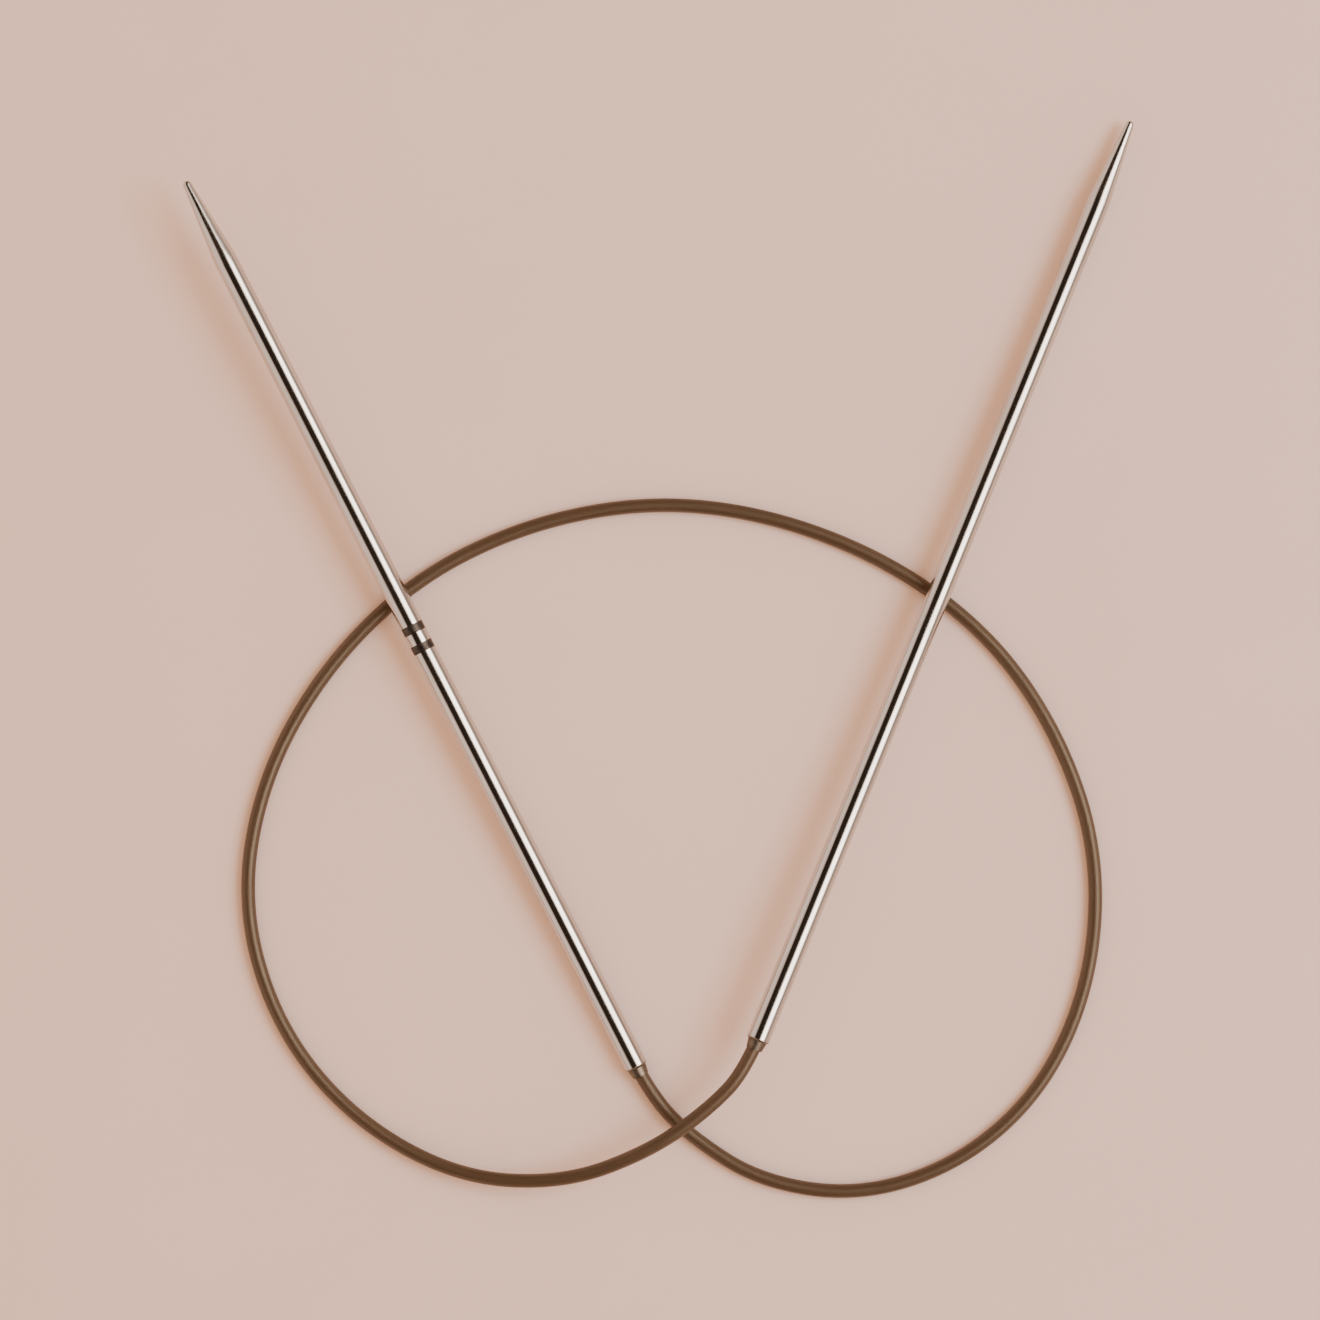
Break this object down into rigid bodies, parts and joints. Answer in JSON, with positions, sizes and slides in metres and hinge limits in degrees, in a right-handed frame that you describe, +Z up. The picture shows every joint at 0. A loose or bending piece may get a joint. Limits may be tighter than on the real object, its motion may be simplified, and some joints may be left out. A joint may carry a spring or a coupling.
{
  "type": "circular knitting needle",
  "caption": "Circular knitting needle: slim pointed steel needles on swivels at both ends of a thin brown nylon-coated steel cord that lies in one crossing loop.",
  "frame": {"origin": "on the surface that the object lies on, under the middle of the box round the two needles", "axes": "+Z up from that surface; +Y the way both points face; +X to the right, so that left_needle has the smaller X at its point"},
  "size_m": [0.0812, 0.0925, 0.0054],
  "materials": {
    "needle_steel": "polished nickel-plated steel",
    "bush_steel": "fine-turned, darkened steel",
    "pin_steel": "fine-turned stainless steel",
    "cord_nylon": "glossy dark brown nylon, slightly clear",
    "cord_wire": "bright stranded wire"
  },
  "bodies": {
    "cord": {"cord_jacket": "cord_nylon", "cord_core": "cord_wire", "left_swivel_pin": "pin_steel", "right_swivel_pin": "pin_steel"},
    "left_needle": {"left_needle": "needle_steel", "left_retaining_bush": "bush_steel"},
    "right_needle": {"right_needle": "needle_steel", "right_retaining_bush": "bush_steel"}
  },
  "joints": [
    {"name": "left_needle_spin", "type": "hinge", "parent": "cord", "child": "left_needle", "pos_m": [-0.002, -0.0401, 0.001], "axis": [-0.4521, 0.8911, 0.0401], "continuous": true},
    {"name": "right_needle_spin", "type": "hinge", "parent": "cord", "child": "right_needle", "pos_m": [0.0083, -0.0376, 0.0042], "axis": [0.3776, 0.9254, -0.0332], "continuous": true}
  ]
}
